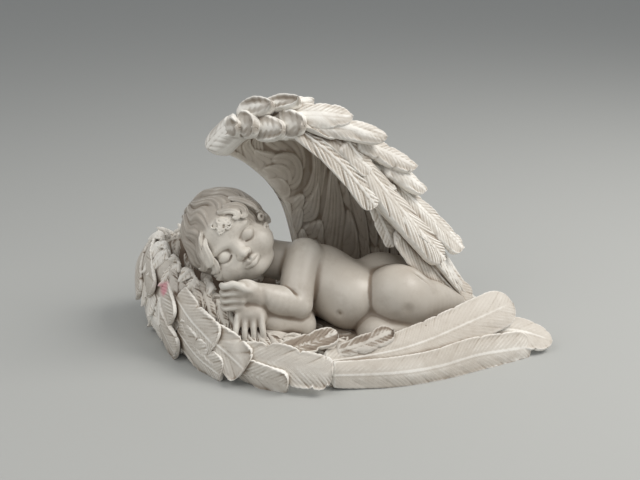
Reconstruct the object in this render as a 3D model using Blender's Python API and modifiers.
"""A sleeping cherub curled up between two wings, cast in one piece.

One wing is bent round into a nest that the cherub lies in, and the other rises behind it and
arches over it as a canopy. The pose, the proportions and the carving are shares of the statue's
own length: 132 shares make the length, so that a share is a millimetre at full size. X runs along
the cherub from its head to its feet, Y away from the viewer, and Z up. The origin is on the flat
underside, at the middle of the statue's bounding box.
"""

import math

import bmesh
import bpy
import numpy as np
from mathutils import Matrix, Vector

# Driving sizes, in metres
STATUE_LENGTH = 0.132
FEATHER_THICKNESS = 0.0022
CANOPY_WALL = 0.0034
NEST_WALL = 0.0046
BED_HEIGHT = 0.0066
FLOOR_DEPTH = 0.0020

# Grain of the casting, in metres, and its facets
BODY_GRAIN = 0.0006
CAST_GRAIN = 0.00055
FACETS = 9500

SHARES_LONG = 136.9
SHARE = STATUE_LENGTH / SHARES_LONG

RESIN_COLOUR = (0.80, 0.77, 0.72, 1.0)
RESIN_ROUGHNESS = 0.62

# The nest's outer wall, going round from behind the head, by the left and the front to the right end and back:
# x, y on the ground, the rim's height, how far the rim leans in, and how far the wall bulges out
NEST_STATIONS = (
    (-18, 33, 13, 1, 1.0),
    (-40, 30, 21, 0, 2.0),
    (-57, 21, 28, -1, 2.6),
    (-62.5, 7, 30, 0, 3.0),
    (-56, -8, 25, 3, 3.0),
    (-44, -20, 18, 8, 2.4),
    (-27, -30, 12, 8, 1.8),
    (-3, -33, 9, 6, 1.2),
    (24, -29, 10, 7, 1.0),
    (43, -20, 11, 6, 1.0),
    (52, -6, 7, 4, 1.0),
    (52, 12, 5, 3, 1.0),
    (43, 27, 5, 3, 1.0),
    (22, 35, 6, 2, 1.0),
    (2, 36, 8, 2, 1.0),
)

# The canopy wing's inner face as a net of points: from the leading edge at the left to the feather tips
# at the right, in four rows from the front rim up, over and down to the bottom edge behind the cherub
CANOPY_NET = (
    ((-41, -2, 64), (-27, -5, 68.5), (-10, -6, 65.5), (9, -4, 46), (27, 1, 25), (42, 6, 4)),
    ((-30, 5, 57), (-19, 6, 69), (-5, 7, 66.5), (12, 9, 50), (27, 10, 27), (41, 11, 4)),
    ((-19, 12, 42), (-9, 18, 52), (3, 23, 50), (17, 23, 35.5), (31, 21, 18), (42, 18, 2)),
    ((-14, 19, 20), (-6, 28, 12), (6, 32, 6), (19, 32, 3), (32, 29, 1), (43, 24, 0)),
)


def spline(stations, at, closed=False):
    """Points on the smooth curve through the stations, at shares of its way from 0 to 1.

    Each span is a Catmull-Rom cubic. An open curve runs straight on past its ends.
    """
    stations = np.asarray(stations, float)
    at = np.asarray(at, float)
    spans = len(stations) if closed else len(stations) - 1
    inside = at % 1.0 if closed else np.clip(at, 0.0, 1.0)
    place = np.minimum(inside * spans, spans - 1e-9)
    first = place.astype(int)
    share = (place - first)[..., None]

    def station(index):
        if closed:
            return stations[index % spans]
        return stations[np.clip(index, 0, spans)]

    before, here, there, after = (station(first + step) for step in (-1, 0, 1, 2))
    slope = (there - before) / 2
    bend = before - 2.5 * here + 2 * there - after / 2
    twist = (after - before) / 2 + 1.5 * (here - there)
    points = here + share * (slope + share * (bend + share * twist))
    if not closed:
        way_out = (at - inside)[..., None] * spans
        end_slope = slope + share * (2 * bend + share * 3 * twist)
        points = points + way_out * end_slope
    return points


def nest_wall(u, v):
    """The nest's outer wall: u goes round it once, and v climbs from the ground, 0, to the rim, 1."""
    at = spline(NEST_STATIONS, u, closed=True)
    step = 1e-3
    way = spline(NEST_STATIONS, np.asarray(u) + step, closed=True)[..., :2] - at[..., :2]
    way /= np.linalg.norm(way, axis=-1, keepdims=True)
    v = np.asarray(v, float)
    out = at[..., 4] * np.sin(math.pi * np.clip(v, 0, 1)) - at[..., 3] * v
    x = at[..., 0] + way[..., 1] * out
    y = at[..., 1] - way[..., 0] * out
    return np.stack([x, y, at[..., 2] * v], axis=-1) * SHARE


def canopy(s, t):
    """The canopy's inner face: s runs along the feathers to their tips, t from the front rim to the back."""
    s, t = np.broadcast_arrays(np.asarray(s, float), np.asarray(t, float))
    rows = np.stack([spline(row, s) for row in CANOPY_NET], axis=0)
    flat = rows.reshape(len(CANOPY_NET), -1, 3)
    across = t.ravel()
    points = np.empty((across.size, 3))
    for axis in range(3):
        columns = flat[:, :, axis].T
        spans = len(CANOPY_NET) - 1
        inside = np.clip(across, 0, 1)
        place = np.minimum(inside * spans, spans - 1e-9)
        first = place.astype(int)
        share = place - first
        pick = np.arange(across.size)
        before, here, there, after = (
            columns[pick, np.clip(first + step, 0, spans)] for step in (-1, 0, 1, 2)
        )
        slope = (there - before) / 2
        bend = before - 2.5 * here + 2 * there - after / 2
        twist = (after - before) / 2 + 1.5 * (here - there)
        value = here + share * (slope + share * (bend + share * twist))
        value += (across - inside) * spans * (slope + share * (2 * bend + share * 3 * twist))
        points[:, axis] = value
    return points.reshape(s.shape + (3,)) * SHARE


def slopes(surface, u, v):
    """The surface's two tangents and its outward normal at each place."""
    step = 1e-3
    along = (surface(u + step, v) - surface(u - step, v)) / (2 * step)
    across = (surface(u, v + step) - surface(u, v - step)) / (2 * step)
    normal = np.cross(along, across)
    normal /= np.linalg.norm(normal, axis=-1, keepdims=True)
    return along, across, normal


def grid_object(name, rows, columns, shape):
    """A grid primitive whose vertices are moved to shape(a, b), with a and b from 0 to 1."""
    mesh = bpy.data.meshes.new(name)
    bm = bmesh.new()
    bmesh.ops.create_grid(bm, x_segments=rows, y_segments=columns, size=0.5)
    bm.to_mesh(mesh)
    bm.free()
    co = np.empty(len(mesh.vertices) * 3)
    mesh.vertices.foreach_get("co", co)
    co = co.reshape(-1, 3)
    mesh.vertices.foreach_set("co", shape(co[:, 0] + 0.5, co[:, 1] + 0.5).ravel())
    mesh.update()
    obj = bpy.data.objects.new(name, mesh)
    workshop.objects.link(obj)
    return obj


def thicken(obj, thickness, side=-1):
    """Gives a sheet a wall, behind its face (side -1) or in front of it (side 1)."""
    wall = obj.modifiers.new("wall", "SOLIDIFY")
    wall.thickness = thickness
    wall.offset = side
    return obj


def strip(path, facing):
    """A surface that follows a path in space and faces one way: u runs along it and v across it."""
    facing = Vector(facing).normalized()

    def surface(u, v):
        u, v = np.broadcast_arrays(np.asarray(u, float), np.asarray(v, float))
        line = spline(path, u)
        way = spline(path, u + 1e-3) - spline(path, u - 1e-3)
        side = np.cross(np.array(facing), way)
        side /= np.linalg.norm(side, axis=-1, keepdims=True)
        return (line + side * v[..., None]) * SHARE

    return surface


def feather(surface, name, start, end, width, lift=2.0, rise=0.3, root=0.62, tip=0.70):
    """A feather lying on a surface, from start to end, both places on that surface.

    Its outline is a leaf: it starts at the root share of its width and rounds off from the tip share
    of its length. It lifts off the surface towards its tip, is cambered across, and has a raised
    shaft down its middle. Width, lift and rise are in shares of the statue.
    """
    start, end = np.asarray(start, float), np.asarray(end, float)
    along_way = end - start

    def shape(a, b):
        b = 2 * b - 1
        place = start + a[:, None] * along_way
        u, v = place[:, 0], place[:, 1]
        along, across, normal = slopes(surface, u, v)
        way = along * along_way[0] + across * along_way[1]
        way /= np.linalg.norm(way, axis=-1, keepdims=True)
        side = np.cross(normal, way)
        uu = (along * along).sum(-1)
        uv = (along * across).sum(-1)
        vv = (across * across).sum(-1)
        su = (along * side).sum(-1)
        sv = (across * side).sum(-1)
        scale = uu * vv - uv * uv
        step_u = (su * vv - sv * uv) / scale
        step_v = (sv * uu - su * uv) / scale
        swell = root + (1 - root) * np.sin(np.clip(a / 0.55, 0, 1) * math.pi / 2)
        rounding = np.sqrt(np.clip(1 - (np.clip(a - tip, 0, 1) / (1.005 - tip)) ** 2.4, 0, 1))
        half = width / 2 * SHARE * swell * rounding * b
        base = surface(u + step_u * half, v + step_v * half)
        _, _, facing = slopes(surface, u + step_u * half, v + step_v * half)
        camber = 0.9 * (1 - b**2) + 0.35 * np.exp(-((b / 0.16) ** 2))
        height = rise + lift * a**1.5 + camber * rounding
        return base + facing * (height * SHARE)[:, None]

    obj = grid_object(name, 10, 6, shape)
    return thicken(obj, FEATHER_THICKNESS, -1)


def plume(name, path, facing, width, **form):
    """A feather along a path in space, in shares, whose face looks the given way."""
    return feather(strip(path, facing), name, (0, 0), (1, 0), width, **form)


def ball(name, centre, radii, axes=None):
    """An ellipsoid of clay, with its radii along the given axes or along X, Y and Z."""
    if isinstance(radii, (int, float)):
        radii = (radii, radii, radii)
    mesh = bpy.data.meshes.new(name)
    bm = bmesh.new()
    bmesh.ops.create_uvsphere(bm, u_segments=24, v_segments=16, radius=1.0)
    turn = Matrix(axes).transposed() if axes is not None else Matrix.Identity(3)
    place = Matrix.Translation(Vector(centre) * SHARE) @ turn.to_4x4()
    bm.transform(place @ Matrix.Diagonal((*(Vector(radii) * SHARE), 1)))
    bm.to_mesh(mesh)
    bm.free()
    obj = bpy.data.objects.new(name, mesh)
    workshop.objects.link(obj)
    return obj


def limb(name, joints, radii, steps=10):
    """A tapering roll of clay through the joints, round at both ends."""
    at = np.linspace(0, 1, steps)
    line = spline(joints, at)
    girth = spline(np.asarray(radii, float)[:, None], at)[:, 0]
    curve = bpy.data.curves.new(name, "CURVE")
    curve.dimensions = "3D"
    curve.bevel_depth = SHARE
    curve.bevel_resolution = 4
    curve.use_fill_caps = True
    path = curve.splines.new("POLY")
    path.points.add(steps - 1)
    for point, place, radius in zip(path.points, line, girth):
        point.co = (*(place * SHARE), 1)
        point.radius = radius
    obj = bpy.data.objects.new(name, curve)
    workshop.objects.link(obj)
    return [
        obj,
        ball(name + "_start", line[0], float(girth[0])),
        ball(name + "_end", line[-1], float(girth[-1])),
    ]


# The head's own axes: towards its left ear, towards its face and towards its crown
HEAD_CENTRE = Vector((-36, 0, 35.2))
HEAD_UP = Vector((-0.691, 0.053, 0.720)).normalized()
HEAD_FRONT = Vector((0.147, -0.966, 0.213)).normalized()
HEAD_LEFT = HEAD_UP.cross(HEAD_FRONT).normalized()
HEAD_FRONT = HEAD_LEFT.cross(HEAD_UP).normalized()


def on_head(left, front, up):
    """A place on the head, in shares from its centre along its own axes."""
    return HEAD_CENTRE + HEAD_LEFT * left + HEAD_FRONT * front + HEAD_UP * up


def head():
    """Skull, cheeks, nose, lips, closed lids, chin and ears, then the cap of hair and its locks."""
    axes = (HEAD_LEFT, HEAD_FRONT, HEAD_UP)

    def lump(name, place, radii):
        return ball(name, on_head(*place), radii, axes)

    lumps = [
        lump("skull", (0, -0.5, 1.5), (13.0, 13.4, 13.0)),
        lump("jaw", (0, 4.2, -6.2), (10.2, 8.8, 8.0)),
        lump("nose", (0, 13.4, -5.6), (1.7, 1.7, 1.4)),
        lump("nose_bridge", (0, 12.4, -3.2), (1.1, 1.5, 2.6)),
        lump("upper_lip", (0, 12.5, -8.6), (2.4, 1.3, 0.9)),
        lump("lower_lip", (0, 12.1, -10.0), (1.9, 1.3, 0.9)),
        lump("chin", (0, 10.2, -12.4), (2.9, 2.6, 2.2)),
        lump("hair_cap", (0, -2.6, 3.4), (14.4, 13.6, 13.2)),
    ]
    for side, where in ((1, "left"), (-1, "right")):
        lumps += [
            lump(where + "_cheek", (side * 5.6, 8.4, -6.8), (4.6, 4.4, 4.4)),
            lump(where + "_lid", (side * 5.0, 11.3, -2.8), (2.7, 1.9, 1.7)),
            lump(where + "_ear", (side * 12.9, 1.0, -3.2), (1.6, 2.4, 3.4)),
        ]
    for k in range(9):
        turn = math.radians(-78 + 18 * k)
        crown = (5 * math.sin(turn), -8, 14.5 - 1.5 * abs(math.sin(turn)))
        over = (12.4 * math.sin(turn), 1.0 * math.cos(turn) - 2, 5 + 11.6 * math.cos(turn))
        edge = (13.8 * math.sin(turn), 9.0 * math.cos(turn), 1.5 + 9.6 * math.cos(turn))
        lumps += limb(f"lock_{k}", [on_head(*p) for p in (crown, over, edge)], (1.8, 2.2, 1.5))
    for name, line in (("flip", ((-13, 1, -3), (-15, 3, -8), (-17.5, 7, -11))), ("nape", ((-12, -3, -4), (-13, -2, -10), (-12, 2, -15)))):
        lumps += limb(name, [on_head(*p) for p in line], (3.0, 2.8, 1.6))
    return lumps


def body():
    """Neck, chest, belly, hips, arms, hands and legs."""
    lumps = [
        ball("chest", (-7, 3, 19), (11.0, 11.0, 12.0)),
        ball("ribs", (-1, 1, 17), (11.0, 11.5, 11.0)),
        ball("belly", (4, -3, 15.0), (11.5, 12.0, 10.8)),
        ball("hips", (14, 5, 16.0), (11.0, 11.0, 11.5)),
        ball("left_buttock", (20, 9, 18.0), (9.0, 8.0, 9.0)),
        ball("right_buttock", (20, 8, 10.0), (9.0, 9.0, 9.0)),
    ]
    lumps += limb("neck", ((-29, 2, 28), (-15, 3, 24)), (6.5, 7.0))
    lumps += limb("left_upper_arm", ((-12, 0, 28), (-14, -7, 22), (-14.5, -12, 16.5)), (6.3, 5.6, 5.2))
    lumps += limb("left_forearm", ((-14.5, -12, 16.5), (-20, -15.5, 19.5), (-27, -17.5, 22.8)), (5.0, 4.6, 3.6))
    lumps += limb("right_upper_arm", ((-15, 2, 12), (-14, -6, 10), (-13, -12, 9.5)), (5.6, 5.2, 4.8))
    lumps += limb("right_forearm", ((-13, -12, 9.5), (-20, -16, 12), (-27, -18, 15.5)), (4.6, 4.2, 3.4))
    lumps += limb("left_thigh", ((13, 4, 17.5), (16.5, -3, 17), (18.5, -8, 15.2)), (10.2, 10.4, 9.4))
    lumps += limb("left_shin", ((19, -8, 14.5), (26, -4.5, 13.6), (34, 1, 10.5)), (8.4, 6.8, 4.2))
    lumps += limb("right_thigh", ((12, 0, 9), (11, -9, 8), (11, -15, 7.5)), (7.5, 7.0, 6.2))
    lumps += limb("right_shin", ((11, -15, 7.5), (20, -13, 7), (30, -6, 7)), (5.8, 5.2, 4.0))
    lumps.append(ball("left_foot", (38, 5, 8.5), (5.5, 3.2, 3.4)))
    lumps.append(ball("left_palm", (-31.5, -18.8, 23.8), (4.8, 2.9, 4.6)))
    lumps.append(ball("right_palm", (-28, -20.8, 16.2), (4.8, 2.7, 3.9)))
    for finger in range(4):
        drop = 2.5 * finger
        lumps += limb(
            f"left_finger_{finger}",
            ((-33, -20.0, 27.3 - drop), (-36.6, -19.6, 27.0 - drop), (-38.8, -17.0, 26.6 - drop)),
            (1.5, 1.4, 1.2),
            steps=6,
        )
        along = 2.7 * finger
        lumps += limb(
            f"right_finger_{finger}",
            ((-32 + along, -22.3, 15.6), (-31.5 + along, -24.2, 12.8), (-31.2 + along, -24.6, 10.0)),
            (1.5, 1.4, 1.25),
            steps=6,
        )
    return lumps


def canopy_feathers():
    """Overlapping rows on the canopy's outer face, from the long ones at its tip to the coverts."""
    made = []
    rows = (
        # name, how many, start and end along the wing, first and last place across, width, lift
        ("primary", 6, 0.56, 1.02, 0.12, 0.94, 10.5, 0.6),
        ("secondary", 6, 0.36, 0.80, 0.16, 0.92, 10.5, 1.3),
        ("greater_covert", 6, 0.20, 0.58, 0.14, 0.90, 10.5, 1.6),
        ("median_covert", 5, 0.08, 0.40, 0.20, 0.88, 10.0, 1.6),
        ("lesser_covert", 5, -0.02, 0.24, 0.18, 0.88, 8.5, 1.4),
    )
    outside = CANOPY_WALL / SHARE + 0.2
    for name, count, start, end, low, high, width, lift in rows:
        for k in range(count):
            t = low + (high - low) * k / (count - 1)
            made.append(feather(canopy, f"{name}_{k}", (start, t), (end, t), width, lift, outside))
    return made


def rim_feathers():
    """The feathers that show along the canopy's front rim, from the knob down to the right."""
    front = (0.10, -0.93, 0.35)
    outer = (0.45, -0.60, 0.66)
    top = (0.25, -0.55, 0.80)
    made = []
    plumes = (
        # name, path, way it faces, width, lift, root share
        ("rim_1", ((-12.9, -6, 70.4), (-1, -5, 60.9), (9.1, -4, 46.6)), front, 7.5, 0.8, 0.7),
        ("rim_2", ((-4, -5, 67.1), (14.7, -2, 49.2), (31.2, 2, 26.5)), outer, 10.0, 0.8, 0.7),
        ("rim_3", ((18.2, -1, 39.9), (32.2, 3, 21.8), (43.7, 5, 10.1)), outer, 10.0, 0.6, 0.6),
        ("rim_inner", ((9.2, -1, 47.5), (12.6, 1, 39.6), (15.4, 2, 31.7)), front, 5.0, 0.5, 0.9),
        ("crest_1", ((-15.4, 0, 75.3), (-7, 2, 75.1), (0.9, 4, 72.3)), top, 9.0, 1.0, 0.8),
        ("crest_2", ((-6.4, -3, 71.6), (2, -2, 70.8), (10.9, 0, 66.3)), top, 9.0, 1.2, 0.8),
        ("crest_3", ((5.9, 2, 64), (14.8, 4, 60), (21, 6, 54.2)), outer, 8.0, 1.2, 0.8),
        ("crest_4", ((15.9, 7, 54.9), (21.9, 8, 50.3), (25.7, 9, 44.8)), outer, 7.0, 1.2, 0.8),
        ("crest_5", ((15.5, 4, 52), (26.6, 7, 40.8), (37.3, 9, 27.8)), outer, 8.0, 0.8, 0.8),
        ("knob", ((-29.1, -2, 73), (-34.5, -3, 69.5), (-40, -3, 64.1)), (-0.35, -0.75, 0.45), 8.5, 0.4, 0.9),
        ("covert_1", ((-35, -3, 69), (-32, -4, 69.5), (-28, -5, 69.6)), top, 8.0, 1.2, 0.9),
        ("covert_2", ((-29, -4, 70), (-25, -5, 70.5), (-20, -6, 70.4)), front, 8.0, 1.2, 0.9),
        ("covert_3", ((-22, -5, 71), (-17, -6, 71.5), (-13, -6, 70.7)), front, 8.0, 1.2, 0.9),
        ("covert_4", ((-31.7, 0, 73.8), (-27, 0, 75), (-22.7, 0, 75.6)), top, 7.5, 1.0, 0.9),
        ("covert_5", ((-22.7, 0, 75), (-17, 1, 76.6), (-12.4, 1, 77.2)), top, 7.5, 1.0, 0.9),
    )
    for name, path, facing, width, lift, root in plumes:
        made.append(plume(name, path, facing, width, lift=lift + 0.8, root=root))
    return made


def nest_feathers():
    """The nest's outer feathers in a high and a low row, the ones inside its rim, and its tail."""
    made = []
    spans = len(NEST_STATIONS)
    for k, (u0, u1) in enumerate(((-0.5, 0.9), (0.4, 1.7), (1.3, 2.4), (11.2, 12.4), (12.0, 13.2), (12.9, 14.2))):
        made.append(feather(nest_wall, f"back_{k}", (u0 / spans, 0.8), (u1 / spans, 0.4), 10, 2.0))
    left, corner, front = (-0.85, -0.48, 0.20), (-0.60, -0.72, 0.30), (-0.10, -0.93, 0.36)
    plumes = (
        # name, path, way it faces, width, lift, root share
        ("low_1", ((-64, 21, 27), (-67.5, 13, 20.1), (-66, 4, 11.5)), (-0.92, -0.38, 0.1), 10, 0.4, 0.7),
        ("low_2", ((-60.6, 1, 13), (-55, -11, 6.8), (-49, -18, 2)), (-0.80, -0.60, -0.1), 10, 1.0, 0.7),
        ("low_3", ((-49.5, -17, 8), (-42.5, -25, 4.0), (-34.4, -30, 1.6)), (-0.55, -0.83, -0.1), 9.5, 1.0, 0.7),
        ("low_4", ((-33, -30, 4.5), (-24, -34.5, 3.2), (-15.7, -36.5, 2.6)), (-0.2, -0.97, -0.1), 8, 1.0, 0.7),
        ("high_1", ((-62, 15, 30), (-63.5, 6, 24), (-59.5, -5, 17)), (-0.93, -0.3, 0.2), 10, 0.6, 0.7),
        ("high_2", ((-59.7, 4, 22.5), (-56, -6, 17.6), (-51.7, -16, 12.2)), left, 9.5, 1.0, 0.6),
        ("high_3", ((-49.9, -13, 17.5), (-43.4, -21, 13.8), (-37.1, -27, 10.7)), corner, 9.5, 1.0, 0.7),
        ("high_4", ((-40, -25, 12), (-34.3, -29, 9.6), (-28.4, -33, 5.6)), (-0.45, -0.80, 0.40), 10.5, 1.0, 0.8),
        ("high_5", ((-31, -31.5, 8.2), (-17.1, -35, 8.2), (-3.2, -36.5, 5.8)), front, 10, 1.2, 0.8),
        ("inner_1", ((-21.7, -31, 10), (-12.9, -29, 10.5), (-1.6, -26, 12.7)), (-0.1, -0.5, 0.86), 7, 0.5, 0.7),
        ("inner_2", ((-2.6, -30, 9.0), (6.4, -28, 11.0), (14.7, -24, 12.4)), (0, -0.6, 0.8), 6, 0.5, 0.7),
        ("tail_1", ((-6, -32, 7), (12, -29, 8.5), (23, -25, 9.6), (34, -18.5, 11.6), (53.5, -7, 15)),
         (0.15, -0.75, 0.65), 9.5, 0.4, 0.75),
        ("tail_2", ((30, -20, 7), (43, -15, 8.6), (55, -11.5, 6.4), (66.5, -10, 1.8)),
         (0.2, -0.6, 0.78), 10.5, 0.2, 0.7),
        ("tail_3", ((-4, -35, 4.5), (14, -33, 4.2), (28, -28.5, 4), (42, -21.5, 3.8), (59, -13, 1.6)),
         (0.2, -0.9, 0.35), 8.5, 0.2, 0.9),
    )
    for name, path, facing, width, lift, root in plumes:
        made.append(plume(name, path, facing, width, lift=lift + 0.8, root=root))
    return made


def nest():
    """The nest's wall and floor as one solid of rings: out and up the wall, in and down, then across the bed."""
    rings = []
    round_count = 90
    u = np.arange(round_count) / round_count
    for v in (0.0, 0.2, 0.4, 0.6, 0.8, 1.0):
        rings.append(nest_wall(u, np.full(round_count, v)))
    middle = rings[0].mean(axis=0)
    rim = rings[-1].copy()
    inner = rim.copy()
    flat = rim[:, :2] - middle[:2]
    reach = np.linalg.norm(flat, axis=1, keepdims=True)
    inner[:, :2] = middle[:2] + flat * (1 - NEST_WALL / reach)
    rings.append(inner)
    foot = inner.copy()
    foot[:, :2] = middle[:2] + (inner[:, :2] - middle[:2]) * 0.86
    foot[:, 2] = BED_HEIGHT
    rings.append(foot)
    below = rings[0].copy()
    below[:, 2] = -FLOOR_DEPTH
    rings.insert(0, below)
    mesh = bpy.data.meshes.new("nest_wall")
    bm = bmesh.new()
    verts = [[bm.verts.new(p) for p in ring] for ring in rings]
    for lower, upper in zip(verts, verts[1:]):
        for k in range(round_count):
            after = (k + 1) % round_count
            bm.faces.new((lower[k], lower[after], upper[after], upper[k]))
    bm.faces.new(verts[0][::-1])
    bm.faces.new(verts[-1])
    bm.to_mesh(mesh)
    bm.free()
    obj = bpy.data.objects.new("nest_wall", mesh)
    workshop.objects.link(obj)
    return obj


def canopy_wall():
    """The canopy's own wall, under its feathers."""
    sheet = grid_object("canopy_wall", 40, 24, canopy)
    return thicken(sheet, CANOPY_WALL, 1)


def joined(name, pieces):
    """One mesh object of all the pieces as they are evaluated. The pieces are removed."""
    bpy.context.view_layer.update()
    graph = bpy.context.evaluated_depsgraph_get()
    bm = bmesh.new()
    for piece in pieces:
        mesh = bpy.data.meshes.new_from_object(piece.evaluated_get(graph))
        mesh.transform(piece.matrix_world)
        bm.from_mesh(mesh)
        bpy.data.meshes.remove(mesh)
    bmesh.ops.remove_doubles(bm, verts=bm.verts, dist=1e-6)
    whole = bpy.data.meshes.new(name)
    bm.to_mesh(whole)
    bm.free()
    for piece in pieces:
        bpy.data.objects.remove(piece)
    obj = bpy.data.objects.new(name, whole)
    workshop.objects.link(obj)
    return obj


def fuse(obj, grain, smoothing):
    """Melts overlapping lumps into one skin of that grain, and smooths it."""
    skin = obj.modifiers.new("skin", "REMESH")
    skin.mode = "VOXEL"
    skin.voxel_size = grain
    skin.adaptivity = 0
    soften = obj.modifiers.new("soften", "SMOOTH")
    soften.factor = 0.5
    soften.iterations = smoothing
    return obj


def settle(obj):
    """Replaces the object's mesh with its evaluated one and drops its modifiers."""
    bpy.context.view_layer.update()
    graph = bpy.context.evaluated_depsgraph_get()
    mesh = bpy.data.meshes.new_from_object(obj.evaluated_get(graph))
    obj.modifiers.clear()
    obj.data = mesh
    return obj


def facet(obj, count):
    """Reduces the skin to about that many triangles, most of them where it bends most."""
    obj.data.calc_loop_triangles()
    reduce = obj.modifiers.new("facets", "DECIMATE")
    reduce.ratio = count / len(obj.data.loop_triangles)
    reduce.use_collapse_triangulate = True
    return obj


def flat_underside(obj):
    """Cuts the casting off flat at the ground."""
    mesh = bpy.data.meshes.new("ground_cutter")
    bm = bmesh.new()
    bmesh.ops.create_cube(bm, size=1.0)
    depth = 10 * FLOOR_DEPTH
    across = 2 * STATUE_LENGTH
    bm.transform(Matrix.Translation((0, 0, -depth / 2)) @ Matrix.Diagonal((across, across, depth, 1)))
    bm.to_mesh(mesh)
    bm.free()
    cutter = bpy.data.objects.new("ground_cutter", mesh)
    cutter.hide_render = True
    cutter.display_type = "WIRE"
    cutters.objects.link(cutter)
    cut = obj.modifiers.new("ground", "BOOLEAN")
    cut.operation = "DIFFERENCE"
    cut.solver = "EXACT"
    cut.object = cutter
    return obj


def centre_over_origin(obj):
    """Moves the mesh so that the middle of its bounding box stands over the origin."""
    co = np.empty(len(obj.data.vertices) * 3)
    obj.data.vertices.foreach_get("co", co)
    co = co.reshape(-1, 3)
    middle = (co.min(axis=0) + co.max(axis=0)) / 2
    obj.data.transform(Matrix.Translation((-middle[0], -middle[1], 0)))
    return middle


def resin():
    """The matt off-white resin of the whole casting."""
    material = bpy.data.materials.new("antique_white_resin")
    material.use_nodes = True
    shader = material.node_tree.nodes["Principled BSDF"]
    shader.inputs["Base Color"].default_value = RESIN_COLOUR
    shader.inputs["Roughness"].default_value = RESIN_ROUGHNESS
    shader.inputs["Metallic"].default_value = 0.0
    return material


for old in list(bpy.data.objects):
    bpy.data.objects.remove(old)
workshop = bpy.data.collections.new("sleeping_angel")
bpy.context.scene.collection.children.link(workshop)
cutters = bpy.data.collections.new("cutters")
bpy.context.scene.collection.children.link(cutters)

cherub = settle(fuse(joined("cherub", head() + body()), BODY_GRAIN, 2))
feathers = nest_feathers() + canopy_feathers() + rim_feathers()
wings = joined("wings", [nest(), canopy_wall()] + feathers)
statue = settle(fuse(joined("sleeping_angel", [cherub, wings]), CAST_GRAIN, 1))
facet(statue, FACETS)
settle(flat_underside(statue))
centre_over_origin(statue)
statue.data.materials.clear()
statue.data.materials.append(resin())
